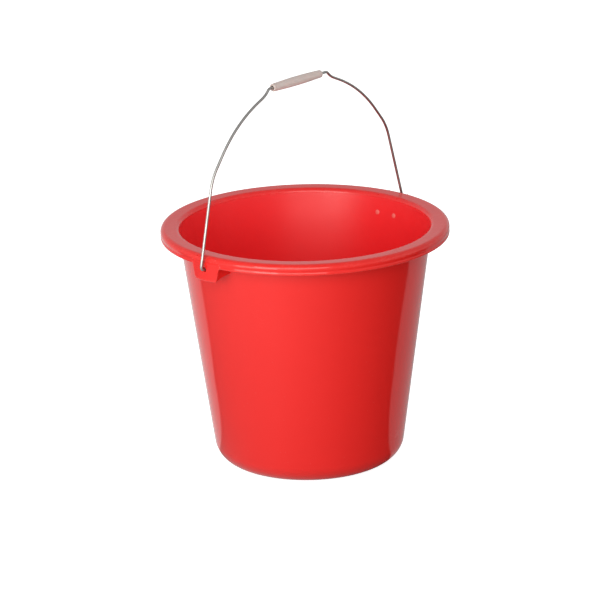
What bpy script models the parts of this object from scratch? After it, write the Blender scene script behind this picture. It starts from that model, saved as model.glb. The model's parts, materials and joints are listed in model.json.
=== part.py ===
"""Wash bucket: one moulded plastic pail with two ears, a bent wire bail and a loose grip sleeve.

Metres, +Z up. The origin is the centre of the base on the floor, the ears lie on the X axis,
and the bail swings about a line through both ear holes.
"""

from math import atan, cos, pi, radians, sin, sqrt, tan

import bmesh
import bpy
from mathutils import Matrix, Vector

# Pail
HEIGHT = 0.263
RIM_RADIUS = 0.155
WALL = 0.0022
WALL_TOP_RADIUS = 0.1365
WALL_FOOT_RADIUS = 0.1001
FOOT_CORNER = 0.024
FLOOR_THICKNESS = 0.0026
FOOT_RING_WIDTH = 0.009
FOOT_RECESS = 0.0025
LIP_INNER_ROUND = 0.0035
LIP_OUTER_ROUND = 0.005
SKIRT_DROP = 0.0116
TURN_STEPS = 72

# Ears, one at each end of the X axis
EAR_DROP = 0.0268
EAR_TOP_HALF = 0.020
EAR_BOTTOM_HALF = 0.0147
EAR_CORNER = 0.003
EAR_PROUD = 0.001
EAR_THICKNESS = 0.0026
EAR_OVERLAP_HEIGHT = 0.0062
RIB_PLACE = 0.0132
RIB_THICKNESS = 0.0018
RIB_SINK = 0.001
HOLE_DROP = 0.0141
HOLE_RADIUS = 0.0024

# Two low pips on the inside wall behind each ear
PIP_DROP = 0.0209
PIP_SPREAD = 0.0118
PIP_RADIUS = 0.0023
PIP_HEIGHT = 0.0006

# Bail
WIRE_RADIUS = 0.0015
BAIL_LEAN = radians(1.7)
HOOK_X = 0.148
HOOK_LENGTH = 0.008
FOOT_X = 0.162
SHOULDER = (0.138, 0.093)
ARCH = (0.098, 0.1435)
VALLEY = (0.0515, 0.1645)
CREST_X = 0.0455
CREST_HEIGHT = 0.1708
BEND_RADII = (0.003, 0.0035, 0.060, 0.150, 0.025, 0.004)

# Grip
GRIP_LENGTH = 0.076
GRIP_PLACE = -0.0025
GRIP_MIDDLE_RADIUS = 0.0051
GRIP_END_RADIUS = 0.0042
GRIP_BORE_RADIUS = 0.0021
GRIP_EDGE = 0.0014
GRIP_STEPS = 28

AXIS_HEIGHT = HEIGHT - HOLE_DROP
WALL_SLOPE = (WALL_TOP_RADIUS - WALL_FOOT_RADIUS) / HEIGHT
WALL_TILT = atan(WALL_SLOPE)


def clear_scene():
    for old in list(bpy.data.objects):
        bpy.data.objects.remove(old, do_unlink=True)


def material(name, colour, roughness, metallic):
    made = bpy.data.materials.new(name)
    made.use_nodes = True
    shader = made.node_tree.nodes["Principled BSDF"]
    shader.inputs["Base Color"].default_value = (*colour, 1.0)
    shader.inputs["Roughness"].default_value = roughness
    shader.inputs["Metallic"].default_value = metallic
    made.diffuse_color = (*colour, 1.0)
    return made


def link(name, data, surface=None, parent=None):
    made = bpy.data.objects.new(name, data)
    bpy.context.scene.collection.objects.link(made)
    made.parent = parent
    if surface:
        data.materials.append(surface)
    return made


def mesh_from(name, form):
    bmesh.ops.recalc_face_normals(form, faces=form.faces)
    data = bpy.data.meshes.new(name)
    form.to_mesh(data)
    form.free()
    return data


def arc(centre, radius, start, end, steps):
    """Points on a circle in degrees, first and last included."""
    points = []
    for step in range(steps + 1):
        angle = radians(start + (end - start) * step / steps)
        points.append((centre[0] + radius * cos(angle), centre[1] + radius * sin(angle)))
    return points


def outer_radius(height):
    """Outside radius of the plain tapered wall at a height above the floor."""
    return WALL_FOOT_RADIUS + WALL_SLOPE * height


def corner_centre(radius, floor, wall_offset):
    """Centre of a round of this radius that touches the floor plane and the tapered wall from inside."""
    height = floor + radius
    reach = outer_radius(height) - wall_offset / cos(WALL_TILT) - radius / cos(WALL_TILT)
    return reach, height


def pail_profile():
    """Closed section of the pail as (radius, height), from the middle of its underside outwards."""
    tilt = WALL_TILT * 180 / pi
    foot = corner_centre(FOOT_CORNER, 0.0, 0.0)
    ring_in = foot[0] - FOOT_RING_WIDTH
    points = [(ring_in - FOOT_RECESS, FOOT_RECESS), (ring_in, 0.0)]
    points += arc(foot, FOOT_CORNER, -90, -tilt, 6)
    under_lip = HEIGHT - WALL
    points.append((outer_radius(under_lip), under_lip))
    skirt_in = RIM_RADIUS - WALL
    lip_centre = (RIM_RADIUS - LIP_OUTER_ROUND, HEIGHT - LIP_OUTER_ROUND)
    inner_round = LIP_OUTER_ROUND - WALL
    points += arc(lip_centre, inner_round, 90, 0, 3)
    half = WALL / 2
    skirt_end = (RIM_RADIUS - half, HEIGHT - SKIRT_DROP + half)
    points += arc(skirt_end, half, 180, 360, 4)
    points += arc(lip_centre, LIP_OUTER_ROUND, 0, 90, 5)
    inner_top = outer_radius(HEIGHT) - WALL / cos(WALL_TILT)
    inner_centre = (inner_top + LIP_INNER_ROUND, HEIGHT - LIP_INNER_ROUND)
    points += arc(inner_centre, LIP_INNER_ROUND, 90, 180 - tilt, 4)
    floor = FOOT_RECESS + FLOOR_THICKNESS
    inside_round = FOOT_CORNER - WALL
    inside = corner_centre(inside_round, floor, WALL)
    points += arc(inside, inside_round, -tilt, -90, 6)
    return points, floor


def turned_pail():
    """The pail without its ears, turned about the Z axis."""
    profile, floor = pail_profile()
    form = bmesh.new()
    rings = []
    for radius, height in profile:
        ring = []
        for step in range(TURN_STEPS):
            angle = 2 * pi * step / TURN_STEPS
            ring.append(form.verts.new((radius * cos(angle), radius * sin(angle), height)))
        rings.append(ring)
    for lower, upper in zip(rings, rings[1:]):
        for step in range(TURN_STEPS):
            after = (step + 1) % TURN_STEPS
            form.faces.new((lower[step], lower[after], upper[after], upper[step]))
    for ring, height in ((rings[0], FOOT_RECESS), (rings[-1], floor)):
        middle = form.verts.new((0.0, 0.0, height))
        for step in range(TURN_STEPS):
            form.faces.new((middle, ring[step], ring[(step + 1) % TURN_STEPS]))
    return mesh_from("bucket", form)


def ear_outline():
    """Outline of an ear seen from outside as (across, height), with its two lower corners rounded."""
    top = HEIGHT - SKIRT_DROP + EAR_OVERLAP_HEIGHT
    skirt = HEIGHT - SKIRT_DROP
    bottom = HEIGHT - EAR_DROP
    slant = atan((EAR_TOP_HALF - EAR_BOTTOM_HALF) / (skirt - bottom))
    turn = pi / 2 - slant
    reach = EAR_CORNER * tan(turn / 2)
    centre = (EAR_BOTTOM_HALF - reach, bottom + EAR_CORNER)
    corner = arc(centre, EAR_CORNER, -slant * 180 / pi, -90, 4)
    right = [(EAR_TOP_HALF, top), (EAR_TOP_HALF, skirt)] + corner
    left = [(-across, height) for across, height in reversed(right)]
    return right + left


def extruded(name, outline, place, depth_vector):
    """A prism: each outline point goes through place, and the copy is moved by depth_vector of it."""
    form = bmesh.new()
    front = [form.verts.new(place(point)) for point in outline]
    back = [form.verts.new(place(point) + depth_vector(point)) for point in outline]
    form.faces.new(front)
    form.faces.new(list(reversed(back)))
    count = len(outline)
    for step in range(count):
        after = (step + 1) % count
        form.faces.new((front[step], back[step], back[after], front[after]))
    bmesh.ops.triangulate(form, faces=form.faces)
    return mesh_from(name, form)


def helper(name, data):
    """An object that a Boolean uses and the finished part leaves out."""
    made = link(name, data)
    made.hide_render = True
    made.display_type = "WIRE"
    return made


def ear_plate(side):
    """The curved plate that hangs from the skirt and carries the hole."""
    outside = RIM_RADIUS + EAR_PROUD
    columns = 8
    outline = ear_outline()
    form = bmesh.new()
    half = EAR_TOP_HALF + 0.001
    top = outline[0][1]
    bottom = HEIGHT - EAR_DROP
    rings = []
    for step in range(columns + 1):
        across = -half + 2 * half * step / columns
        angle = across / outside
        column = []
        for radius in (outside - EAR_THICKNESS, outside):
            for height in (bottom - 0.002, top):
                column.append(form.verts.new((side * radius * cos(angle), radius * sin(angle), height)))
        rings.append(column)
    for left, right in zip(rings, rings[1:]):
        for low, high in ((0, 1), (1, 3), (3, 2), (2, 0)):
            form.faces.new((left[low], left[high], right[high], right[low]))
    form.faces.new([rings[0][corner] for corner in (0, 1, 3, 2)])
    form.faces.new([rings[-1][corner] for corner in (0, 2, 3, 1)])
    plate = helper("ear_plate_blank", mesh_from("ear_plate_blank", form))
    start = 0.9 * RIM_RADIUS

    def place(point):
        return Vector((side * start, point[0], point[1]))

    def depth(_):
        return Vector((side * 0.2 * RIM_RADIUS, 0, 0))

    outline_block = helper("ear_outline", extruded("ear_outline", outline, place, depth))
    combine(plate, outline_block, "INTERSECT")
    return plate


def ear_rib(side, across):
    """A web from the wall to the back of the ear plate, beside the room that the wire's hook needs."""
    bottom = HEIGHT - EAR_DROP + 0.001
    top = HEIGHT - WALL / 2
    plate_back = RIM_RADIUS + EAR_PROUD - EAR_THICKNESS / 2

    def on_wall(height):
        radius = outer_radius(height) - RIB_SINK
        return sqrt(radius**2 - across**2)

    outer = sqrt(plate_back**2 - across**2)
    outline = [(on_wall(bottom + 0.004), bottom + 0.004), (outer, bottom), (outer, top), (on_wall(top), top)]

    def place(point):
        return Vector((side * point[0], across - RIB_THICKNESS / 2, point[1]))

    def depth(_):
        return Vector((0, RIB_THICKNESS, 0))

    return helper("ear_rib", extruded("ear_rib", outline, place, depth))


def cylinder(name, radius, start, end, steps):
    """A closed round bar between two points."""
    run = end - start
    form = bmesh.new()
    turn = run.to_track_quat("Z", "Y").to_matrix().to_4x4()
    matrix = Matrix.Translation((start + end) / 2) @ turn
    bmesh.ops.create_cone(
        form, cap_ends=True, segments=steps, radius1=radius, radius2=radius, depth=run.length, matrix=matrix
    )
    return helper(name, mesh_from(name, form))


def combine(target, other, operation):
    """Applies one exact Boolean and removes the helper that it used."""
    step = target.modifiers.new(operation.lower(), "BOOLEAN")
    step.operation = operation
    step.solver = "EXACT"
    step.object = other
    bpy.context.view_layer.update()
    graph = bpy.context.evaluated_depsgraph_get()
    made = bpy.data.meshes.new_from_object(target.evaluated_get(graph))
    target.modifiers.clear()
    target.data = made
    bpy.data.objects.remove(other, do_unlink=True)


def wall_pip(side, across):
    """A low round pip on the inside of the wall."""
    height = HEIGHT - PIP_DROP
    radius = outer_radius(height) - WALL
    angle = across / radius
    outward = Vector((side * cos(angle), sin(angle), 0))
    base = outward * radius + Vector((0, 0, height))
    return cylinder("wall_pip", PIP_RADIUS, base - outward * PIP_HEIGHT, base + outward * 0.001, 16)


def build_bucket(surface):
    bucket = link("bucket", turned_pail(), surface)
    for side in (-1, 1):
        combine(bucket, ear_plate(side), "UNION")
        for across in (-RIB_PLACE, RIB_PLACE):
            combine(bucket, ear_rib(side, across), "UNION")
        hole_start = Vector((side * (RIM_RADIUS - 0.008), 0, AXIS_HEIGHT))
        hole_end = Vector((side * (RIM_RADIUS + 0.008), 0, AXIS_HEIGHT))
        combine(bucket, cylinder("ear_hole", HOLE_RADIUS, hole_start, hole_end, 20), "DIFFERENCE")
        for across in (-PIP_SPREAD, PIP_SPREAD):
            combine(bucket, wall_pip(side, across), "UNION")
    bucket.data.name = "bucket"
    if not bucket.data.materials:
        bucket.data.materials.append(surface)
    bucket.data.shade_smooth()
    bucket.data.set_sharp_from_angle(angle=radians(35))
    return bucket


def bent(corners, radii, steps_per_radian=9):
    """A path of straight runs whose inner corners are bent to the given radii."""
    points = [corners[0]]
    for before, corner, after, radius in zip(corners, corners[1:], corners[2:], radii):
        back = (before - corner).normalized()
        ahead = (after - corner).normalized()
        turn = pi - back.angle(ahead)
        reach = radius * tan(turn / 2)
        centre = corner + (back + ahead).normalized() * radius / cos(turn / 2)
        start = corner + back * reach - centre
        normal = start.cross(corner + ahead * reach - centre).normalized()
        steps = max(3, round(turn * steps_per_radian))
        for step in range(steps + 1):
            points.append(centre + Matrix.Rotation(turn * step / steps, 3, normal) @ start)
    points.append(corners[-1])
    return points


def bail_path():
    """Centre line of the wire in the bail's own plane, x along the swing axis and z up from it."""
    half = [(HOOK_X, HOOK_LENGTH), (HOOK_X, 0.0), (FOOT_X, 0.0), SHOULDER, ARCH, VALLEY, (CREST_X, CREST_HEIGHT)]
    corners = [Vector((x, 0, z)) for x, z in half]
    corners.append(Vector((0, 0, CREST_HEIGHT)))
    right = bent(corners, BEND_RADII)
    left = [Vector((-point.x, 0, point.z)) for point in reversed(right[:-1])]
    return right + left


def build_bail(surface, pivot):
    curve = bpy.data.curves.new("bail", "CURVE")
    curve.dimensions = "3D"
    curve.bevel_depth = WIRE_RADIUS
    curve.bevel_resolution = 3
    curve.use_fill_caps = True
    path = bail_path()
    line = curve.splines.new("POLY")
    line.points.add(len(path) - 1)
    for point, place in zip(line.points, path):
        point.co = (*place, 1.0)
    line.use_smooth = True
    return link("bail", curve, surface, pivot)


def grip_profile():
    """Closed section of the sleeve as (along, radius): a barrel outside, a straight bore inside."""
    half = GRIP_LENGTH / 2
    swell = GRIP_MIDDLE_RADIUS - GRIP_END_RADIUS
    points = []
    spans = 8
    for step in range(spans + 1):
        share = -1 + 2 * step / spans
        points.append((share * (half - GRIP_EDGE), GRIP_END_RADIUS + swell * cos(share * pi / 2)))
    end = GRIP_END_RADIUS - GRIP_EDGE
    points += arc((half - GRIP_EDGE, end), GRIP_EDGE, 60, 0, 2)
    points += [(half, GRIP_BORE_RADIUS), (-half, GRIP_BORE_RADIUS)]
    points += arc((-half + GRIP_EDGE, end), GRIP_EDGE, 180, 120, 2)
    return points


def build_grip(surface, pivot):
    form = bmesh.new()
    rings = []
    for along, radius in grip_profile():
        ring = []
        for step in range(GRIP_STEPS):
            angle = 2 * pi * step / GRIP_STEPS
            ring.append(form.verts.new((along, radius * cos(angle), radius * sin(angle))))
        rings.append(ring)
    for near, far in zip(rings, rings[1:] + rings[:1]):
        for step in range(GRIP_STEPS):
            after = (step + 1) % GRIP_STEPS
            form.faces.new((near[step], near[after], far[after], far[step]))
    data = mesh_from("grip", form)
    data.shade_smooth()
    data.set_sharp_from_angle(angle=radians(50))
    grip = link("grip", data, surface, pivot)
    grip.location = (GRIP_PLACE, 0, CREST_HEIGHT)
    return grip


def build():
    clear_scene()
    red = material("bucket_plastic", (0.80, 0.04, 0.03), 0.28, 0.0)
    steel = material("bail_steel", (0.55, 0.54, 0.52), 0.32, 1.0)
    pale = material("grip_plastic", (0.60, 0.53, 0.49), 0.45, 0.0)
    build_bucket(red)
    pivot = link("bail_pivot", None)
    pivot.location = (0, 0, AXIS_HEIGHT)
    pivot.rotation_euler = (-BAIL_LEAN, 0, 0)
    build_bail(steel, pivot)
    build_grip(pale, pivot)


build()
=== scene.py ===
import json
import math

import bpy
import numpy as np
from mathutils import Matrix, Vector


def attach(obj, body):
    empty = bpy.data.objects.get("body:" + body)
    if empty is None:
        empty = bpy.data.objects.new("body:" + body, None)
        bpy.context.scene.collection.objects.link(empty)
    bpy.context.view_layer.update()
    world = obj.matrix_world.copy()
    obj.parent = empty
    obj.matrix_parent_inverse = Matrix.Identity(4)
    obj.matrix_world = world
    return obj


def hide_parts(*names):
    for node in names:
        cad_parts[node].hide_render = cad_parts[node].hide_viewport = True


# Wash bucket: moulded pail, bent wire bail and loose sleeve grip, in metres, +Z up.
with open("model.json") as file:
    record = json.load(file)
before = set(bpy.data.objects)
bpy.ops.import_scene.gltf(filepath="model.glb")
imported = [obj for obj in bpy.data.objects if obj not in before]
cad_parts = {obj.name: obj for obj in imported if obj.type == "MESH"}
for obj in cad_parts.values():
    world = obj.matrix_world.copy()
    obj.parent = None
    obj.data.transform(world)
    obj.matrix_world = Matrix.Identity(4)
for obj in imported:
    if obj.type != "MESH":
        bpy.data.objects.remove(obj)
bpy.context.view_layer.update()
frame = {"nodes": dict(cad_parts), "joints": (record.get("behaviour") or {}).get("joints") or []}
jointAt = {joint["name"]: np.array(joint["pos_m"], float) for joint in frame["joints"]}
swingPoint = jointAt["bail_swing"]
gripPoint = jointAt["grip_spin"]
mm = 0.001
print("frame loaded:", sorted(frame["nodes"]))


# mesh helpers
def smoothStep(x, start, end):
    # 0 at start, 1 at end, 3t^2 - 2t^3 between; start may be the larger
    t = np.clip((x - start) / (end - start), 0.0, 1.0)
    return t * t * (3 - 2 * t)


def arcPoints(centre, radius, startDeg, endDeg, steps):
    # centre + radius * (cos a, sin a), both ends included
    a = np.radians(np.linspace(startDeg, endDeg, steps + 1))
    return np.stack([centre[0] + radius * np.cos(a), centre[1] + radius * np.sin(a)], 1)


def linePoints(start, end, steps):
    # evenly spaced, first point left out because the piece before it ends there
    t = np.linspace(0, 1, steps + 1)[1:, None]
    return np.array(start, float) * (1 - t) + np.array(end, float) * t


def gridQuads(rows, columns, wrap):
    # quads of a rows x columns grid, and the (row, column) of each corner before wrapping
    i, j = np.meshgrid(np.arange(rows - 1), np.arange(columns if wrap else columns - 1), indexing="ij")
    cornerRow = np.stack([i, i, i + 1, i + 1], -1).reshape(-1, 4)
    cornerColumn = np.stack([j, j + 1, j + 1, j], -1).reshape(-1, 4)
    return cornerRow * columns + cornerColumn % columns, cornerRow, cornerColumn


def endFans(rows, columns):
    # triangles that close the first and the last ring of a grid, to the two nodes that follow the grid's own
    ring = np.arange(columns)
    after = (ring + 1) % columns
    firstMiddle, lastRow = rows * columns, (rows - 1) * columns
    return np.concatenate([
        np.stack([np.full(columns, firstMiddle), after, ring], 1),
        np.stack([np.full(columns, firstMiddle + 1), lastRow + ring, lastRow + after], 1),
    ])


def signedVolume(points, faces):
    # sum of a . (b x c) / 6 over each face cut into a fan
    total = 0.0
    for k in range(1, faces.shape[1] - 1):
        a, b, c = points[faces[:, 0]], points[faces[:, k]], points[faces[:, k + 1]]
        total += np.einsum("ij,ij->i", a, np.cross(b, c)).sum() / 6
    return total


def makePiece(name, points, faceSets, material, uv=None, fields=None, sharpAngle=40):
    # one mesh object at the origin; faceSets are arrays of quads or triangles that already face out
    mesh = bpy.data.meshes.new(name)
    faces = [face for faceSet in faceSets for face in faceSet.tolist()]
    mesh.from_pydata(points.tolist(), [], faces)
    if uv is not None:
        layer = mesh.uv_layers.new(name="pieceMap")
        layer.data.foreach_set("uv", np.asarray(uv, np.float32).ravel())
    for fieldName, values in (fields or {}).items():
        attribute = mesh.attributes.new(fieldName, "FLOAT", "POINT")
        attribute.data.foreach_set("value", np.asarray(values, np.float32).ravel())
    mesh.validate()
    mesh.shade_smooth()
    mesh.set_sharp_from_angle(angle=math.radians(sharpAngle))
    mesh.materials.append(material)
    piece = bpy.data.objects.new(name, mesh)
    bpy.context.scene.collection.objects.link(piece)
    return piece


# node helpers, and the groups that several materials share
def addNode(tree, kind, place=(0, 0), **settings):
    node = tree.nodes.new(kind)
    node.location = place
    for key, value in settings.items():
        setattr(node, key, value)
    return node


def newGroup(name, inputs, outputs):
    group = bpy.data.node_groups.new(name, "ShaderNodeTree")
    for socketName, socketType, value in inputs:
        socket = group.interface.new_socket(name=socketName, in_out="INPUT", socket_type=socketType)
        if value is not None:
            socket.default_value = value
    for socketName, socketType in outputs:
        group.interface.new_socket(name=socketName, in_out="OUTPUT", socket_type=socketType)
    source = addNode(group, "NodeGroupInput", (-900, 0))
    target = addNode(group, "NodeGroupOutput", (900, 0))
    return group, source, target


def addMath(tree, operation, a, b=None, clamp=False):
    node = addNode(tree, "ShaderNodeMath", operation=operation, use_clamp=clamp)
    for index, value in ((0, a), (1, b)):
        if value is None:
            continue
        if isinstance(value, (int, float)):
            node.inputs[index].default_value = value
        else:
            tree.links.new(value, node.inputs[index])
    return node.outputs[0]


def addShare(tree, base, value, share, clamp=False):
    # base + value * share
    return addMath(tree, "ADD", base, addMath(tree, "MULTIPLY", value, share), clamp)


def addRange(tree, value, fromLow, fromHigh, toLow=0.0, toHigh=1.0, kind="SMOOTHSTEP"):
    node = addNode(tree, "ShaderNodeMapRange", interpolation_type=kind)
    tree.links.new(value, node.inputs["Value"])
    node.inputs["From Min"].default_value = fromLow
    node.inputs["From Max"].default_value = fromHigh
    node.inputs["To Min"].default_value = toLow
    node.inputs["To Max"].default_value = toHigh
    return node.outputs["Result"]


def addMix(tree, factor, a, b):
    node = addNode(tree, "ShaderNodeMix", data_type="RGBA")
    for socket, value in ((node.inputs[0], factor), (node.inputs[6], a), (node.inputs[7], b)):
        if isinstance(value, (int, float)):
            socket.default_value = value
        elif isinstance(value, tuple):
            socket.default_value = (*value, 1.0)
        else:
            tree.links.new(value, socket)
    return node.outputs[2]


def addField(tree, name):
    return addNode(tree, "ShaderNodeAttribute", attribute_name=name).outputs["Fac"]


def addStretch(tree, vector, scale):
    node = addNode(tree, "ShaderNodeMapping")
    node.inputs["Scale"].default_value = scale
    tree.links.new(vector, node.inputs["Vector"])
    return node.outputs["Vector"]


def placeGroup(tree, group, **values):
    node = addNode(tree, "ShaderNodeGroup", node_tree=group)
    for key, value in values.items():
        socket = node.inputs[key]
        if isinstance(value, (int, float)):
            socket.default_value = value
        else:
            tree.links.new(value, socket)
    return node


def buildCloudyTone():
    # Tone = broad cloudy variation 0..1, Height = the same with a finer octave on top
    group, source, target = newGroup(
        "cloudyTone",
        [("Vector", "NodeSocketVector", None), ("Size", "NodeSocketFloat", 20.0),
         ("Contrast", "NodeSocketFloat", 0.5)],
        [("Tone", "NodeSocketFloat"), ("Height", "NodeSocketFloat")],
    )
    links = group.links
    broad = addNode(group, "ShaderNodeTexNoise")
    broad.inputs["Detail"].default_value = 3.0
    broad.inputs["Roughness"].default_value = 0.55
    links.new(source.outputs["Vector"], broad.inputs["Vector"])
    links.new(source.outputs["Size"], broad.inputs["Scale"])
    fine = addNode(group, "ShaderNodeTexNoise")
    fine.inputs["Detail"].default_value = 2.0
    links.new(source.outputs["Vector"], fine.inputs["Vector"])
    links.new(addMath(group, "MULTIPLY", source.outputs["Size"], 6.0), fine.inputs["Scale"])
    centred = addMath(group, "SUBTRACT", broad.outputs["Fac"], 0.5)
    strength = addMath(group, "MULTIPLY", source.outputs["Contrast"], 3.0)
    tone = addMath(group, "ADD", addMath(group, "MULTIPLY", centred, strength), 0.5, clamp=True)
    height = addShare(group, broad.outputs["Fac"], fine.outputs["Fac"], 0.25)
    links.new(tone, target.inputs["Tone"])
    links.new(height, target.inputs["Height"])
    return group


def buildHairScratches():
    # Mark = thin lines where a stretched noise crosses its middle, broken up by a second noise
    group, source, target = newGroup(
        "hairScratches",
        [("Vector", "NodeSocketVector", None), ("Size", "NodeSocketFloat", 30.0),
         ("Width", "NodeSocketFloat", 0.02), ("Cover", "NodeSocketFloat", 0.5)],
        [("Mark", "NodeSocketFloat")],
    )
    links = group.links
    total = None
    for angle, stretch in ((0.5, 9.0), (1.9, 7.0), (2.7, 11.0)):
        turn = addNode(group, "ShaderNodeMapping")
        turn.inputs["Rotation"].default_value = (angle, angle * 0.6, angle * 1.7)
        turn.inputs["Scale"].default_value = (1.0, stretch, stretch)
        links.new(source.outputs["Vector"], turn.inputs["Vector"])
        lines = addNode(group, "ShaderNodeTexNoise")
        lines.inputs["Detail"].default_value = 1.0
        links.new(turn.outputs["Vector"], lines.inputs["Vector"])
        links.new(source.outputs["Size"], lines.inputs["Scale"])
        away = addMath(group, "ABSOLUTE", addMath(group, "SUBTRACT", lines.outputs["Fac"], 0.5))
        awayShare = addMath(group, "DIVIDE", away, source.outputs["Width"])
        line = addMath(group, "SUBTRACT", 1.0, awayShare, clamp=True)
        total = line if total is None else addMath(group, "MAXIMUM", total, line)
    patch = addNode(group, "ShaderNodeTexNoise")
    patch.inputs["Detail"].default_value = 2.0
    links.new(source.outputs["Vector"], patch.inputs["Vector"])
    links.new(addMath(group, "MULTIPLY", source.outputs["Size"], 0.9), patch.inputs["Scale"])
    low = addMath(group, "SUBTRACT", 0.75, addMath(group, "MULTIPLY", source.outputs["Cover"], 0.5))
    over = addMath(group, "MULTIPLY", addMath(group, "SUBTRACT", patch.outputs["Fac"], low), 8.0, clamp=True)
    links.new(addMath(group, "MULTIPLY", total, over), target.inputs["Mark"])
    return group


def buildFineSpecks():
    # Speck = small round dots, kept only in the cells whose own random value is above 1 - Cover
    group, source, target = newGroup(
        "fineSpecks",
        [("Vector", "NodeSocketVector", None), ("Size", "NodeSocketFloat", 400.0),
         ("Cover", "NodeSocketFloat", 0.1)],
        [("Speck", "NodeSocketFloat")],
    )
    links = group.links
    cells = addNode(group, "ShaderNodeTexVoronoi", feature="F1")
    links.new(source.outputs["Vector"], cells.inputs["Vector"])
    links.new(source.outputs["Size"], cells.inputs["Scale"])
    dot = addRange(group, cells.outputs["Distance"], 0.32, 0.12)
    pick = addNode(group, "ShaderNodeSeparateColor")
    links.new(cells.outputs["Color"], pick.inputs["Color"])
    limit = addMath(group, "SUBTRACT", 1.0, source.outputs["Cover"])
    kept = addMath(group, "GREATER_THAN", pick.outputs[0], limit)
    links.new(addMath(group, "MULTIPLY", dot, kept), target.inputs["Speck"])
    return group


cloudyTone = buildCloudyTone()
hairScratches = buildHairScratches()
fineSpecks = buildFineSpecks()
print("node groups ready")


def startMaterial(name):
    material = bpy.data.materials.new(name)
    material.use_nodes = True
    tree = material.node_tree
    shader = tree.nodes["Principled BSDF"]
    coordinates = addNode(tree, "ShaderNodeTexCoord", (-1400, 0))
    return material, tree, shader, coordinates


def addBump(tree, height, distance, strength, below=None):
    bump = addNode(tree, "ShaderNodeBump")
    bump.inputs["Distance"].default_value = distance
    bump.inputs["Strength"].default_value = strength
    tree.links.new(height, bump.inputs["Height"])
    if below is not None:
        tree.links.new(below, bump.inputs["Normal"])
    return bump.outputs["Normal"]


# red moulded plastic; sizes of patterns are per metre, distances in metres
redPlastic = {
    "colour": (0.825, 0.0185, 0.0150),
    "deepColour": (0.785, 0.0165, 0.0135),
    "insideLitColour": (0.98, 0.0180, 0.0235),
    "scuffAndHighlightColour": (0.97, 0.170, 0.150),
    "dustColour": (0.60, 0.40, 0.36),
    "roughness": 0.085,
    "insideRoughness": 0.335,
    "scuffRoughness": 0.42,
    "skinWeight": 0.65,
    "skinRoughness": 0.33,
    "ior": 1.49,
    "tone": {"Size": 9.0, "Contrast": 0.55},
    "flow": {"Size": 1.0, "Contrast": 0.6},
    "flowStretch": (26.0, 26.0, 2.2),
    "grain": {"Size": 700.0, "Contrast": 0.5},
    "peel": {"Size": 85.0, "Contrast": 0.5},
    "scratch": {"Size": 7.0, "Width": 0.0045, "Cover": 0.30},
    "rub": {"Size": 34.0, "Width": 0.03, "Cover": 0.75},
    "specks": {"Size": 420.0, "Cover": 0.02},
    "peelDistance": 0.00006,
    "grainDistance": 0.000012,
    "ringSpacing": 0.0016,
    "ringDistance": 0.00001,
    "scratchDistance": 0.00002,
}


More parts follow.
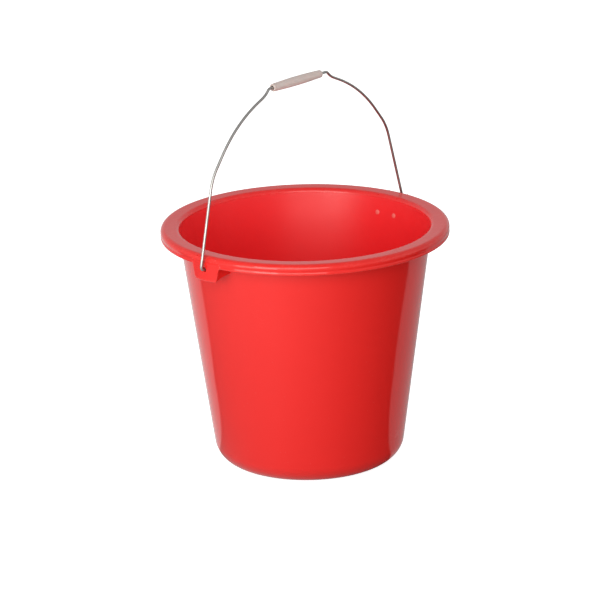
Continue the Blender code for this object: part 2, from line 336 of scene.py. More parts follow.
def buildRedPlastic(cfg):
    # colour = red mixed with a deeper red by cloudy tone, brighter inside as painted light, paler where
    # scuffed and as a painted highlight on the pips, with a few specks of dust roughness = base + cloudy
    # change + scuffs and the pip highlight; bump = orange peel, mould grain, scratches, tool rings
    material, tree, shader, coordinates = startMaterial("redMouldedPlastic")
    links = tree.links
    place = coordinates.outputs["Object"]
    inside = addField(tree, "insideFace")
    markMask = addField(tree, "wearAndPipHighlight")
    turned = addField(tree, "toolRings")
    tone = placeGroup(tree, cloudyTone, Vector=place, **cfg["tone"]).outputs["Tone"]
    grain = placeGroup(tree, cloudyTone, Vector=place, **cfg["grain"]).outputs["Height"]
    peel = placeGroup(tree, cloudyTone, Vector=place, **cfg["peel"]).outputs["Height"]
    scratch = placeGroup(tree, hairScratches, Vector=place, **cfg["scratch"]).outputs["Mark"]
    rubbed = placeGroup(tree, hairScratches, Vector=place, **cfg["rub"]).outputs["Mark"]
    specks = placeGroup(tree, fineSpecks, Vector=place, **cfg["specks"]).outputs["Speck"]

    # flow lines run up the wall from the gate, so the noise is stretched along Z
    drawn = addStretch(tree, place, cfg["flowStretch"])
    flow = placeGroup(tree, cloudyTone, Vector=drawn, **cfg["flow"]).outputs["Tone"]

    # scuffing shows where the scuff field is high and the rubbed pattern breaks through it; at the pips the
    # same mix is a painted highlight
    wearBreak = addShare(tree, addMath(tree, "MULTIPLY", rubbed, 0.75), tone, 0.35)
    scuffedAndHighlit = addMath(tree, "MULTIPLY", markMask, wearBreak, clamp=True)
    cloud = addShare(tree, addMath(tree, "MULTIPLY", tone, 0.45), flow, 0.35)
    body = addMix(tree, cloud, cfg["colour"], cfg["deepColour"])
    # the inner face is painted a brighter, pinker red than the outside: painted light inside the pail
    body = addMix(tree, inside, body, cfg["insideLitColour"])
    scratchFaint = addMath(tree, "MULTIPLY", scratch, 0.16)
    # pale scuff colour, which on the pips is a painted highlight
    marked = addMix(tree, addMath(tree, "MAXIMUM", scuffedAndHighlit, scratchFaint), body, cfg["scuffAndHighlightColour"])
    dusty = addMath(tree, "MULTIPLY", specks, addShare(tree, 0.05, inside, 0.02))
    links.new(addMix(tree, dusty, marked, cfg["dustColour"]), shader.inputs["Base Color"])

    rough = addShare(tree, cfg["roughness"], inside, cfg["insideRoughness"] - cfg["roughness"])
    rough = addShare(tree, rough, addMath(tree, "SUBTRACT", tone, 0.5), 0.03)
    rough = addShare(tree, rough, addMath(tree, "SUBTRACT", flow, 0.5), 0.025)
    rough = addShare(tree, rough, scuffedAndHighlit, cfg["scuffRoughness"] - cfg["roughness"])
    links.new(addShare(tree, rough, scratch, 0.10, clamp=True), shader.inputs["Roughness"])

    # turned rings on the base: sin(2 pi radius / spacing)
    split = addNode(tree, "ShaderNodeSeparateXYZ")
    links.new(place, split.inputs["Vector"])
    xSquared = addMath(tree, "MULTIPLY", split.outputs["X"], split.outputs["X"])
    ySquared = addMath(tree, "MULTIPLY", split.outputs["Y"], split.outputs["Y"])
    radius = addMath(tree, "SQRT", addMath(tree, "ADD", xSquared, ySquared))
    rings = addMath(tree, "SINE", addMath(tree, "MULTIPLY", radius, 2 * math.pi / cfg["ringSpacing"]))
    normal = addBump(tree, peel, cfg["peelDistance"], 0.55)
    normal = addBump(tree, grain, cfg["grainDistance"], 0.5, normal)
    normal = addBump(tree, addMath(tree, "MULTIPLY", rings, turned), cfg["ringDistance"], 0.6, normal)
    normal = addBump(tree, addMath(tree, "MAXIMUM", scratch, scuffedAndHighlit), cfg["scratchDistance"], -0.35, normal)
    links.new(normal, shader.inputs["Normal"])

    # the inner wall has a hazy skin: coat weight = skinWeight * inside^3
    skin = addMath(tree, "MULTIPLY", addMath(tree, "POWER", inside, 3.0), cfg["skinWeight"], clamp=True)
    links.new(skin, shader.inputs["Coat Weight"])
    shader.inputs["Coat Roughness"].default_value = cfg["skinRoughness"]
    shader.inputs["IOR"].default_value = cfg["ior"]
    return material


redSurface = buildRedPlastic(redPlastic)


# the pail, in mm; its ears stand at +X and -X
pail = {
    "height": 263.0,
    "rimRadius": 155.0,
    "wall": 2.2,
    "topRadius": 136.5,  # the outer wall carried up to the top's level
    "footRadius": 100.1,  # the outer wall carried down to the ground
    "footCorner": 24.0,
    "floorThickness": 2.6,
    "ringWidth": 9.0,
    "recess": 2.5,
    "rimFillet": 1.6,
    "innerRound": 4.8,
    "topLean": 2.2,  # degrees
    "outerRound": 5.0,
    "skirtDrop": 11.6,
    "grooveDepth": 0.45,
    "grooveHeight": 255.3,
    "grooveHalf": 2.1,
    "columnStep": 2.0,  # degrees
    "fineHalf": 22.6,  # how far the fine columns reach to each side of an ear
    "fineSteps": 32,
    "earDrop": 26.8,
    "earTopHalf": 18.2,
    "earBottomHalf": 14.7,
    "earCorner": 3.0,
    "earProud": 1.0,
    "earCrown": 1.0,
    "earInset": 0.6,
    "holeDrop": 14.1,
    "holeRadius": 2.4,
    "holeEdge": 0.25,
    "cell": 0.6,
    "holeCells": 4,
    "blockCells": 8,
    "rowsBelow": 19,
    "rowsAbove": 15,
    "edgeSteps": 8,
    "pipDrop": 20.9,
    "pipSpread": 11.8,
    "pipRadius": 2.6,
    "pipHeight": 0.5,
    "pipBand": 3.0,
    "gateRadius": 3.2,
    "gateHeight": 0.7,
    "pipHighlight": 5.0,
    "rimWear": 0.16,
    "skirtWear": 0.20,
}


def outerWall(cfg, height):
    return cfg["footRadius"] + (cfg["topRadius"] - cfg["footRadius"]) * height / cfg["height"]


def wallTilt(cfg):
    return math.atan((cfg["topRadius"] - cfg["footRadius"]) / cfg["height"])


def roundCentre(cfg, radius, floor, offset):
    # centre of a round that touches the floor level and the tapered wall from inside
    height = floor + radius
    return outerWall(cfg, height) - (offset + radius) / math.cos(wallTilt(cfg)), height


def earEdge(cfg, across):
    # height of the lower edge of skirt and ear at a distance round the rim from the ear's middle
    skirt = cfg["height"] - cfg["skirtDrop"]
    bottom = cfg["height"] - cfg["earDrop"]
    slope = (skirt - bottom) / (cfg["earTopHalf"] - cfg["earBottomHalf"])
    side = bottom + (np.abs(across) - cfg["earBottomHalf"]) * slope
    # the two corners are softened with a smooth maximum and minimum: (a + b +- sqrt((a - b)^2 + c^2)) / 2
    low = (side + bottom + np.sqrt((side - bottom) ** 2 + cfg["earCorner"] ** 2)) / 2
    return (low + skirt - np.sqrt((low - skirt) ** 2 + 0.8)) / 2


def ringMove(cfg):
    # nodes of a square block about a hole, counted outwards by m: a circle at m = holeCells, a square again
    # at m = blockCells, and between them share * circle + (1 - share) * square
    cell, inner, outer = cfg["cell"], cfg["holeCells"], cfg["blockCells"]
    j, k = np.meshgrid(np.arange(-outer, outer + 1), np.arange(-outer, outer + 1))
    m = np.maximum(np.abs(j), np.abs(k))
    safeJ, safeK = np.where(j == 0, 1, j), np.where(k == 0, 1, k)
    turnWide = np.pi / 4 * k / safeJ + np.where(j < 0, np.pi, 0)
    turnTall = np.where(k > 0, np.pi / 2, -np.pi / 2) - np.pi / 4 * j / safeK
    turn = np.where(np.abs(j) >= np.abs(k), turnWide, turnTall)
    share = np.clip((outer - m) / (outer - inner), 0, 1)
    reach = cell * m + (cfg["holeRadius"] + cfg["holeEdge"] - cell * inner) * share
    y = share * reach * np.cos(turn) + (1 - share) * cell * j
    z = share * reach * np.sin(turn) + (1 - share) * cell * k
    return j, k, m, turn, y, z


def pailProfile(cfg):
    # (radius, height) of each row, from the middle of the base out, up, round the rim, down inside and in
    # again, with the heights of the skirt's rows and the first row of each stretch that later steps change
    tilt = math.degrees(wallTilt(cfg))
    top, wall, rim, recess = cfg["height"], cfg["wall"], cfg["rimRadius"], cfg["recess"]
    gate, gateHeight = cfg["gateRadius"], cfg["gateHeight"]
    foot = roundCentre(cfg, cfg["footCorner"], 0.0, 0.0)
    ringIn = foot[0] - cfg["ringWidth"]
    rows = [
        # gate mark, recessed base, foot ring
        np.array([[0.9, recess - gateHeight * 0.6], [gate - 0.8, recess - gateHeight * 0.6]]),
        np.array([[gate - 0.35, recess - gateHeight * 0.5], [gate, recess - 0.08], [gate + 0.5, recess]]),
        linePoints((gate + 0.5, recess), (ringIn - recess - 1.2, recess), 14),
        np.array([[ringIn - recess - 0.5, recess - 0.12], [ringIn - recess + 0.1, recess - 0.55]]),
        linePoints((ringIn - recess + 0.1, recess - 0.55), (ringIn - 0.5, 0.5), 2),
        np.array([[ringIn, 0.14], [ringIn + 0.6, 0.0]]),
        linePoints((ringIn + 0.6, 0.0), (foot[0], 0.0), 4),
        arcPoints(foot, cfg["footCorner"], -90, -tilt, 18)[1:],
    ]
    starts = {}

    # outer wall, fillet, underside of the rim
    under, fillet = top - wall, cfg["rimFillet"]
    rows.append(linePoints(rows[-1][-1], (outerWall(cfg, under - fillet), under - fillet), 30))
    corner = (outerWall(cfg, under) + fillet, under - fillet)
    rows.append(arcPoints(corner, fillet, 176, 90, 6)[1:])
    lip = (rim - cfg["outerRound"], top - cfg["outerRound"])
    rows.append(linePoints((corner[0], under), (lip[0], under), 4))
    rows.append(arcPoints(lip, cfg["outerRound"] - wall, 90, 0, 8)[1:])

    # skirt: inner face, lower edge, outer face
    levels = top - cfg["holeDrop"] + cfg["cell"] * np.arange(-cfg["rowsBelow"], cfg["rowsAbove"] + 1)
    starts["skirtInner"] = sum(map(len, rows))
    rows.append(np.stack([np.full(len(levels), rim - wall), levels[::-1]], 1))
    starts["skirtEdge"] = sum(map(len, rows))
    rows.append(np.repeat([[rim, levels[0]]], cfg["edgeSteps"] - 1, 0))
    starts["skirtOuter"] = sum(map(len, rows))
    rows.append(np.stack([np.full(len(levels), rim), levels], 1))

    # outer round, rim top that falls towards the middle by topLean, inner round tangent to both
    lean, innerRound = cfg["topLean"], cfg["innerRound"]
    starts["rimRound"] = sum(map(len, rows))
    rows.append(arcPoints(lip, cfg["outerRound"], 0, 90 + lean, 14)[1:])
    topStart = rows[-1][-1]
    innerX = outerWall(cfg, top) - wall / math.cos(math.radians(tilt)) + innerRound
    startX = innerX - innerRound * math.sin(math.radians(lean))
    startZ = topStart[1] - (topStart[0] - startX) * math.tan(math.radians(lean))
    rows.append(linePoints(topStart, (startX, startZ), 6))
    innerCentre = (innerX, startZ - innerRound * math.cos(math.radians(lean)))
    rows.append(arcPoints(innerCentre, innerRound, 90 + lean, 180 - tilt, 14)[1:])

    # inner wall with close rows at the pips, inner foot round, floor
    floor = recess + cfg["floorThickness"]
    inside = roundCentre(cfg, cfg["footCorner"] - wall, floor, wall)
    wallStart = rows[-1][-1]
    wallEnd = arcPoints(inside, cfg["footCorner"] - wall, -tilt, -90, 16)
    pipLevel, band = top - cfg["pipDrop"], cfg["pipBand"]
    heights = np.concatenate([
        np.linspace(wallStart[1], pipLevel + band, 10)[1:-1],
        np.linspace(pipLevel + band, pipLevel - band, 15),
        np.linspace(pipLevel - band, wallEnd[0][1], 34)[1:-1],
    ])
    share = (heights - wallStart[1]) / (wallEnd[0][1] - wallStart[1])
    starts["wallInner"] = sum(map(len, rows))
    rows.append(np.stack([wallStart[0] + (wallEnd[0][0] - wallStart[0]) * share, heights], 1))
    starts["floorRound"] = sum(map(len, rows))
    rows.append(wallEnd)
    rows.append(linePoints(wallEnd[-1], (3.0, floor), 16))
    return np.concatenate(rows), levels, starts


def pailColumns(cfg):
    # angle of each column, fine and even about the ears and wider elsewhere, and the columns amid the ears
    block = cfg["cell"] * cfg["blockCells"]
    near = np.concatenate([cfg["cell"] * np.arange(cfg["blockCells"] + 1),
                           np.linspace(block, cfg["fineHalf"], cfg["fineSteps"] + 1)[1:]])
    near = np.concatenate([-near[:0:-1], near]) / cfg["rimRadius"]
    gap = np.pi - 2 * near[-1]
    between = np.linspace(near[-1], near[-1] + gap, round(math.degrees(gap) / cfg["columnStep"]) + 1)[1:-1]
    theta = np.concatenate([near, between, near + np.pi, between + np.pi])
    return theta, (len(near) // 2, len(near) + len(between) + len(near) // 2)


def holeWalls(cfg, points, innerRing, outerRing, sideSign):
    # chamfer, straight bore and chamfer between two rings of nodes, facing the hole's own axis
    middle = np.array([0.0, cfg["height"] - cfg["holeDrop"]])
    rings = []
    for ring, shift in ((outerRing, -cfg["holeEdge"]), (innerRing, cfg["holeEdge"])):
        drawn = points[ring].copy()
        offset = drawn[:, 1:] - middle
        drawn[:, 1:] = middle + offset * cfg["holeRadius"] / np.linalg.norm(offset, axis=1)[:, None]
        drawn[:, 0] += sideSign * shift
        rings.append(np.arange(len(drawn)) + len(points))
        points = np.concatenate([points, drawn])
    bands = []
    for a, b in ((outerRing, rings[0]), (rings[0], rings[1]), (rings[1], innerRing)):
        band = np.stack([a, np.roll(a, -1), np.roll(b, -1), b], 1)
        inward = np.array([0.0, *middle]) - points[band].mean(1)
        inward[:, 0] = 0
        normal = np.cross(points[band[:, 1]] - points[band[:, 0]], points[band[:, 3]] - points[band[:, 0]])
        bands.append(band[:, ::-1] if np.einsum("ij,ij->i", normal, inward).sum() < 0 else band)
    return points, bands


def buildPail(cfg, material):
    # the profile turned about Z, with the ears, the groove and the pips as local changes of its rows
    top, wall, rim = cfg["height"], cfg["wall"], cfg["rimRadius"]
    profile, levels, starts = pailProfile(cfg)
    theta, middles = pailColumns(cfg)
    rowCount, columnCount, count = len(profile), len(theta), len(levels)
    skirtInner = slice(starts["skirtInner"], starts["skirtEdge"])
    skirtEdge = slice(starts["skirtEdge"], starts["skirtOuter"])
    skirtOuter = slice(starts["skirtOuter"], starts["rimRound"])
    wallInner = slice(starts["wallInner"], starts["floorRound"])
    side = rim * np.abs(theta - np.array([[0.0], [np.pi], [2 * np.pi]])).min(0)
    signedAcross = rim * np.arcsin(np.clip(np.sin(theta), -1, 1)) * np.sign(np.cos(theta))
    radii = np.repeat(profile[:, :1], columnCount, 1)
    heights = np.repeat(profile[:, 1:], columnCount, 1)
    turns = np.repeat(theta[None, :], rowCount, 0)

    # skirt rows follow the lower edge: z = top - (top - level) * (top - edge) / (top - lowest)
    half, skirtTop = wall / 2, levels[-1]
    stretch = (skirtTop - (earEdge(cfg, side) + half)) / (skirtTop - levels[0])
    earShare = smoothStep(side, cfg["earTopHalf"] + 1.5, cfg["earTopHalf"] - 0.1)
    heights[skirtInner] = skirtTop - (skirtTop - levels[::-1, None]) * stretch
    heights[skirtOuter] = skirtTop - (skirtTop - levels[:, None]) * stretch
    crown = cfg["earCrown"] * np.clip(1 - (side / cfg["earBottomHalf"]) ** 2, 0, 1)
    proud = (cfg["earProud"] * earShare + crown) * smoothStep(heights[skirtOuter], skirtTop, skirtTop - 1.8)
    dip = np.clip(1 - ((heights[skirtOuter] - cfg["grooveHeight"]) / cfg["grooveHalf"]) ** 2, 0, 1) ** 2
    radii[skirtOuter] += proud - cfg["grooveDepth"] * dip * (1 - earShare)
    skirtBottom = top - cfg["skirtDrop"]
    inset = cfg["earInset"] * earShare
    radii[skirtInner] += inset * smoothStep(heights[skirtInner], skirtBottom + 1, skirtBottom)

    # rounded lower edge: half an ellipse from the inner face to the outer face
    innerEnd, outerEnd = radii[starts["skirtEdge"] - 1], radii[starts["skirtOuter"]]
    bend = np.radians(np.linspace(180, 360, cfg["edgeSteps"] + 1)[1:-1])[:, None]
    radii[skirtEdge] = (innerEnd + outerEnd) / 2 + (outerEnd - innerEnd) / 2 * np.cos(bend)
    heights[skirtEdge] = heights[starts["skirtOuter"]] + half * np.sin(bend)

    # pips: the inner wall stands in by pipHeight * (1 - d^2) inside their radius, and they carry a painted
    # highlight: the pale scuff colour, strongly
    pipShine = np.zeros_like(radii[wallInner])
    upFromPips = heights[wallInner] - (top - cfg["pipDrop"])
    for across in (-cfg["pipSpread"], cfg["pipSpread"]):
        away = np.hypot(signedAcross * radii[wallInner] / rim - across, upFromPips)
        radii[wallInner] -= cfg["pipHeight"] * np.clip(1 - (away / cfg["pipRadius"]) ** 2, 0, 1)
        pipShine += smoothStep(away, cfg["pipRadius"] + 0.3, cfg["pipRadius"] - 0.4)

    # holes: the square block of nodes about the axis is drawn onto circles, and its middle is left out
    j, k, m, turn, moveY, moveZ = ringMove(cfg)
    number = np.arange(rowCount * columnCount).reshape(rowCount, columnCount)
    dropped = np.zeros((rowCount, columnCount), bool)
    inner = cfg["holeCells"]
    holeRings = []
    for middle in middles:
        column = (middle + j) % columnCount
        up = cfg["rowsBelow"] + k
        for row in (starts["skirtInner"] + count - 1 - up, starts["skirtOuter"] + up):
            turns[row, column] = theta[middle] + moveY / rim
            heights[row, column] = top - cfg["holeDrop"] + moveZ
            dropped[row[m < inner], column[m < inner]] = True
            onRing = m == inner
            order = np.argsort(np.mod(turn[onRing], 2 * np.pi))
            holeRings.append(number[row[onRing][order], column[onRing][order]])
    points = np.stack([radii * np.cos(turns), radii * np.sin(turns), heights], -1).reshape(-1, 3)
    quads, _, _ = gridQuads(rowCount, columnCount, True)
    quads = quads[~dropped.ravel()[quads].any(1)]

    # the middles of the base and the floor
    points = np.concatenate([points, [[0, 0, profile[0, 1] - 0.05], [0, 0, profile[-1, 1]]]])
    fans = endFans(rowCount, columnCount)
    if signedVolume(points, quads) < 0:
        quads, fans = quads[:, ::-1], fans[:, ::-1]
    points, rightBands = holeWalls(cfg, points, holeRings[0], holeRings[1], 1)
    points, leftBands = holeWalls(cfg, points, holeRings[2], holeRings[3], -1)

    # fields that the material reads
    insideField = np.zeros((rowCount, columnCount))
    ringField, wearAndHighlightField = insideField.copy(), insideField.copy()
    insideField[starts["wallInner"]:] = 1.0
    # the rim top takes a growing share of the inside face towards its inner edge, its painted brighter red
    # included
    topRows = slice(starts["rimRound"] + 8, starts["wallInner"])
    insideField[topRows] = np.linspace(0.1, 0.6, topRows.stop - topRows.start)[:, None]
    ringField[(profile[:, 1] < 6.0) & (profile[:, 0] < 80.0)] = 1.0
    wearAndHighlightField[:] = smoothStep(heights, 2.0, 0.0) * 0.95 + 0.22 * smoothStep(heights, 9.0, 1.0)
    wearAndHighlightField[starts["wallInner"]:] = 0.10 * smoothStep(heights[starts["wallInner"]:], 12.0, 5.0)
    # painted highlight on the pips, added to the real wear of the edges
    wearAndHighlightField[wallInner] += cfg["pipHighlight"] * pipShine
    wearAndHighlightField[starts["rimRound"] - 2:starts["wallInner"]] = cfg["rimWear"]
    wearAndHighlightField[starts["skirtEdge"] - 2:starts["skirtOuter"] + 3] = cfg["skirtWear"]
    tail = len(points) - rowCount * columnCount - 2
    fields = {
        "insideFace": np.concatenate([insideField.ravel(), [0, 1], np.zeros(tail)]),
        "toolRings": np.concatenate([ringField.ravel(), [1, 1], np.zeros(tail)]),
        "wearAndPipHighlight": np.concatenate([wearAndHighlightField.ravel(), [0, 0], np.zeros(tail)]),
    }

    # nodes that no face uses are left out
    faceSets = [quads, fans, *rightBands, *leftBands]
    used = np.zeros(len(points), bool)
    for faceSet in faceSets:
        used[faceSet.ravel()] = True
    renumber = np.cumsum(used) - 1
    faceSets = [renumber[faceSet] for faceSet in faceSets]
    fields = {key: value[used] for key, value in fields.items()}
    return makePiece("pailShell", points[used] * mm, faceSets, material, fields=fields, sharpAngle=50)


pailShell = buildPail(pail, redSurface)
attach(pailShell, "bucket")
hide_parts("bucket")
print("pail:", len(pailShell.data.polygons), "faces")


# webs behind the ears, in mm
web = {
    "place": 13.2,  # to each side of the ear's middle
    "thickness": 1.8,
    "sink": 1.0,  # into the wall
    "overlap": 0.4,  # into the ear's plate
    "bottomRise": 1.0,
    "wallRise": 4.0,
    "arch": 1.1,
    "steps": 10,
    "edge": 0.35,
}


def buildWeb(cfg, body, side, across, material):
    # outline from the wall out to the ear plate, carried through the web's thickness
    top = body["height"] - body["wall"] / 2
    low = body["height"] - body["earDrop"] + cfg["bottomRise"]
    plate = body["rimRadius"] + body["earInset"] - body["wall"] / 2 + cfg["overlap"]
    t = np.linspace(0, 1, cfg["steps"])
    wallZ = top + (low + cfg["wallRise"] - top) * t
    wallR = outerWall(body, wallZ) - cfg["sink"]
    wallX = np.sqrt(wallR ** 2 - across ** 2)
    outerZ = low + (top - low) * t
    outerX = np.full(cfg["steps"], math.sqrt(plate ** 2 - across ** 2))
    s = t[1:-1]
    lowX = wallX[-1] + (outerX[0] - wallX[-1]) * s
    lowZ = wallZ[-1] + (outerZ[0] - wallZ[-1]) * s + cfg["arch"] * np.sin(np.pi * s)
    outline = np.stack([np.concatenate([wallX, lowX, outerX]), np.concatenate([wallZ, lowZ, outerZ])], 1)
    count = len(outline)
    half = cfg["thickness"] / 2
    points = np.concatenate([
        np.stack([side * outline[:, 0], np.full(count, across + y), outline[:, 1]], 1)
        for y in (-half, half)
    ])
    a = np.arange(count)
    b = (a + 1) % count
    walls = np.stack([a, b, b + count, a + count], 1)
    caps = np.stack([a[::-1], a + count])
    if signedVolume(points, walls) + signedVolume(points, caps) < 0:
        walls, caps = walls[:, ::-1], caps[:, ::-1]
    name = "web_" + ("right" if side > 0 else "left") + ("_back" if across > 0 else "_front")
    piece = makePiece(name, points * mm, [walls, caps], material, sharpAngle=40)
    bevel = piece.modifiers.new("edge", "BEVEL")
    bevel.width = cfg["edge"] * mm
    bevel.segments = 2
    bevel.limit_method = "ANGLE"
    bevel.angle_limit = math.radians(40)
    return piece


for side in (-1, 1):
    for across in (-web["place"], web["place"]):
        webPiece = buildWeb(web, pail, side, across, redSurface)
        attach(webPiece, "bucket")
print("webs: 4 pieces")


# plated steel wire; sizes of patterns are per metre, distances in metres
steelWire = {
    "colour": (0.56, 0.55, 0.53),
    "darkColour": (0.36, 0.345, 0.325),
    "roughness": 0.34,
    "streak": {"Size": 4.0, "Contrast": 0.9},
    "streakStretch": (1.3, 4.0, 1.0),
    "bloom": {"Size": 60.0, "Contrast": 0.9},
    "pits": {"Size": 900.0, "Cover": 0.12},
    "scratch": {"Size": 60.0, "Width": 0.03, "Cover": 0.5},
    "streakDistance": 0.000008,
    "pitDistance": 0.00001,
}


def buildSteel(cfg):
    # colour = plated steel mixed with a darker grey by drawn streaks, cloudy plating, darkening at the feet
    # and beside the grip, and pits
    # roughness = base + bloom + pits - scratches; bump = streaks along the wire and small pits
    material, tree, shader, coordinates = startMaterial("platedSteelWire")
    links = tree.links
    place = coordinates.outputs["Object"]
    along = addNode(tree, "ShaderNodeUVMap", uv_map="pieceMap").outputs["UV"]
    drawn = addStretch(tree, along, cfg["streakStretch"])
    streak = placeGroup(tree, cloudyTone, Vector=drawn, **cfg["streak"])
    bloom = placeGroup(tree, cloudyTone, Vector=place, **cfg["bloom"]).outputs["Tone"]
    pits = placeGroup(tree, fineSpecks, Vector=place, **cfg["pits"]).outputs["Speck"]
    scratch = placeGroup(tree, hairScratches, Vector=place, **cfg["scratch"]).outputs["Mark"]
    bloomShare = addMath(tree, "MULTIPLY", bloom, 0.12)
    # the wire is painted darker at its feet and beside the grip
    darkening = addMath(tree, "MULTIPLY", addField(tree, "footAndGripDarkening"), addMath(tree, "ADD", 0.25, bloomShare))
    dark = addShare(tree, bloomShare, streak.outputs["Tone"], 0.22)
    dark = addMath(tree, "ADD", dark, darkening, clamp=True)
    dark = addShare(tree, dark, pits, 0.35, clamp=True)
    links.new(addMix(tree, dark, cfg["colour"], cfg["darkColour"]), shader.inputs["Base Color"])
    rough = addShare(tree, cfg["roughness"], bloom, 0.14)
    rough = addShare(tree, rough, pits, 0.25)
    links.new(addShare(tree, rough, scratch, -0.10, clamp=True), shader.inputs["Roughness"])
    normal = addBump(tree, streak.outputs["Height"], cfg["streakDistance"], 0.35)
    links.new(addBump(tree, pits, cfg["pitDistance"], -0.5, normal), shader.inputs["Normal"])
    shader.inputs["Metallic"].default_value = 1.0
    return material


steelSurface = buildSteel(steelWire)


# the bail, in mm: corners of its right half in its own plane, (across, up) from the swing axis
bail = {
    "wireRadius": 1.5,
    "corners": [(148.0, 8.0), (148.0, 0.0), (162.0, 0.0), (138.0, 93.0), (98.0, 143.5), (51.5, 164.5)],
    "crestX": 45.5,
    "bendRadii": [3.0, 3.5, 60.0, 150.0, 25.0, 4.0],
    "stepLength": 1.1,
    "sides": 28,
    "endRound": 0.35,
    "mapScale": 4.0,
    "gripEnd": 43.0,
}


def bentPath(corners, radii, step):
    # straight runs joined by arcs tangent to both, then sampled at an even step along the length
    points = [corners[0]]
    for before, corner, after, radius in zip(corners, corners[1:], corners[2:], radii):
        back = (before - corner) / np.linalg.norm(before - corner)
        ahead = (after - corner) / np.linalg.norm(after - corner)
        turn = math.pi - math.acos(np.clip(back @ ahead, -1, 1))
        reach = radius * math.tan(turn / 2)
        middle = back + ahead
        centre = corner + middle / np.linalg.norm(middle) * radius / math.cos(turn / 2)
        start, end = corner + back * reach - centre, corner + ahead * reach - centre
        spin = math.copysign(1.0, start[0] * end[1] - start[1] * end[0])
        angles = np.linspace(0, spin * turn, max(6, round(turn * radius / (0.4 * step))))
        c, s = np.cos(angles), np.sin(angles)
        points += list(centre + np.stack([start[0] * c - start[1] * s, start[0] * s + start[1] * c], 1))
    points.append(corners[-1])
    points = np.array(points)
    lengths = np.concatenate([[0], np.cumsum(np.linalg.norm(np.diff(points, axis=0), axis=1))])
    even = np.linspace(0, lengths[-1], round(lengths[-1] / step) + 1)
    return np.stack([np.interp(even, lengths, points[:, 0]), np.interp(even, lengths, points[:, 1])], 1)


def leanPlace(points, lean, origin):
    # from the bail's own plane to its stored place: turned by -lean about X, then moved to the swing axis
    c, s = math.cos(lean), math.sin(lean)
    x, y, z = points.T
    return np.stack([x, y * c + z * s, -y * s + z * c], 1) * mm + origin


riseVector = gripPoint - swingPoint
bailLean = math.atan2(riseVector[1], riseVector[2])
crestHeight = float(np.hypot(riseVector[1], riseVector[2])) / mm
gripPlace = float(riseVector[0]) / mm


def buildBail(cfg, material):
    # circle of wireRadius carried along the path: p + r (cos v * planeNormal + sin v * sideways)
    corners = [np.array(c) for c in cfg["corners"]]
    corners += [np.array([cfg["crestX"], crestHeight]), np.array([0.0, crestHeight])]
    half = bentPath(corners, cfg["bendRadii"], cfg["stepLength"])
    path = np.concatenate([half, (half * [-1, 1])[-2::-1]])
    along = np.concatenate([[0], np.cumsum(np.linalg.norm(np.diff(path, axis=0), axis=1))])
    tangent = np.gradient(path, along, axis=0)
    tangent /= np.linalg.norm(tangent, axis=1)[:, None]
    sideways = np.stack([-tangent[:, 1], tangent[:, 0]], 1)
    radius = np.full(len(path), cfg["wireRadius"])

    # blunt cut ends: three short rings turn in to a flat face
    ends = []
    for index, sign in ((0, -1), (len(path) - 1, 1)):
        for a in (0.0, 45.0, 90.0):
            offset = cfg["endRound"] * math.sin(math.radians(a)) * sign
            ends.append((path[index] + tangent[index] * offset, sideways[index],
                         cfg["wireRadius"] - cfg["endRound"] * (1 - math.cos(math.radians(a)))))
    startRings, endRings = ends[2:0:-1], ends[4:6]
    path, sideways, radius = (
        np.concatenate([[ring[part] for ring in startRings], middle, [ring[part] for ring in endRings]])
        for part, middle in enumerate((path, sideways, radius)))
    v = np.linspace(0, 2 * np.pi, cfg["sides"], endpoint=False)
    flat = path[:, None, :] + radius[:, None, None] * np.sin(v)[None, :, None] * sideways[:, None, :]
    depth = radius[:, None] * np.cos(v)[None, :]
    points = np.stack([flat[..., 0], depth, flat[..., 1]], -1)
    rowCount = len(points)
    quads, cornerRow, cornerColumn = gridQuads(rowCount, cfg["sides"], True)
    points = points.reshape(-1, 3)
    middles = np.stack([[path[0, 0], 0, path[0, 1]], [path[-1, 0], 0, path[-1, 1]]])
    fans = endFans(rowCount, cfg["sides"])
    points = np.concatenate([points, middles])
    lengths = np.concatenate([[0], np.cumsum(np.linalg.norm(np.diff(path, axis=0), axis=1))])
    uvQuads = np.stack([lengths[cornerRow] * mm * cfg["mapScale"], cornerColumn / cfg["sides"]], -1)
    uvFans = np.full((len(fans), 3, 2), 0.5)
    if signedVolume(points, quads) < 0:
        quads, fans, uvQuads = quads[:, ::-1], fans[:, ::-1], uvQuads[:, ::-1]
    uv = np.concatenate([uvQuads.reshape(-1, 2), uvFans.reshape(-1, 2)])

    # the wire is painted darker at its feet and beside the grip
    reach = np.abs(points[:, 0])
    besideGrip = smoothStep(np.abs(reach - cfg["gripEnd"]), 6.0, 1.0) * (points[:, 2] > 160)
    markMask = np.clip(smoothStep(points[:, 2], 22.0, 4.0) + 0.5 * besideGrip, 0, 1)
    placed = leanPlace(points, bailLean, swingPoint)
    return makePiece("bailWire", placed, [quads, fans], material, uv=uv, fields={"footAndGripDarkening": markMask})


bailWire = buildBail(bail, steelSurface)
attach(bailWire, "bail")
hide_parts("bail")
print("bail:", len(bailWire.data.polygons), "faces")


# pale sleeve plastic; sizes of patterns are per metre, distances in metres
palePlastic = {
    "colour": (0.75, 0.625, 0.590),
    "yellowed": (0.69, 0.565, 0.525),
    "grimeAndShadeColour": (0.24, 0.19, 0.17),
    "roughness": 0.38,
    "tone": {"Size": 70.0, "Contrast": 0.8},
    "grain": {"Size": 1100.0, "Contrast": 0.5},
    "scratch": {"Size": 90.0, "Width": 0.02, "Cover": 0.55},
    "specks": {"Size": 700.0, "Cover": 0.06},
    "grainDistance": 0.00003,
    "scratchDistance": 0.00003,
    "ior": 1.49,
    "subsurface": 0.25,
    "subsurfaceRadius": (1.0, 0.7, 0.6),
    "subsurfaceScale": 0.002,
}


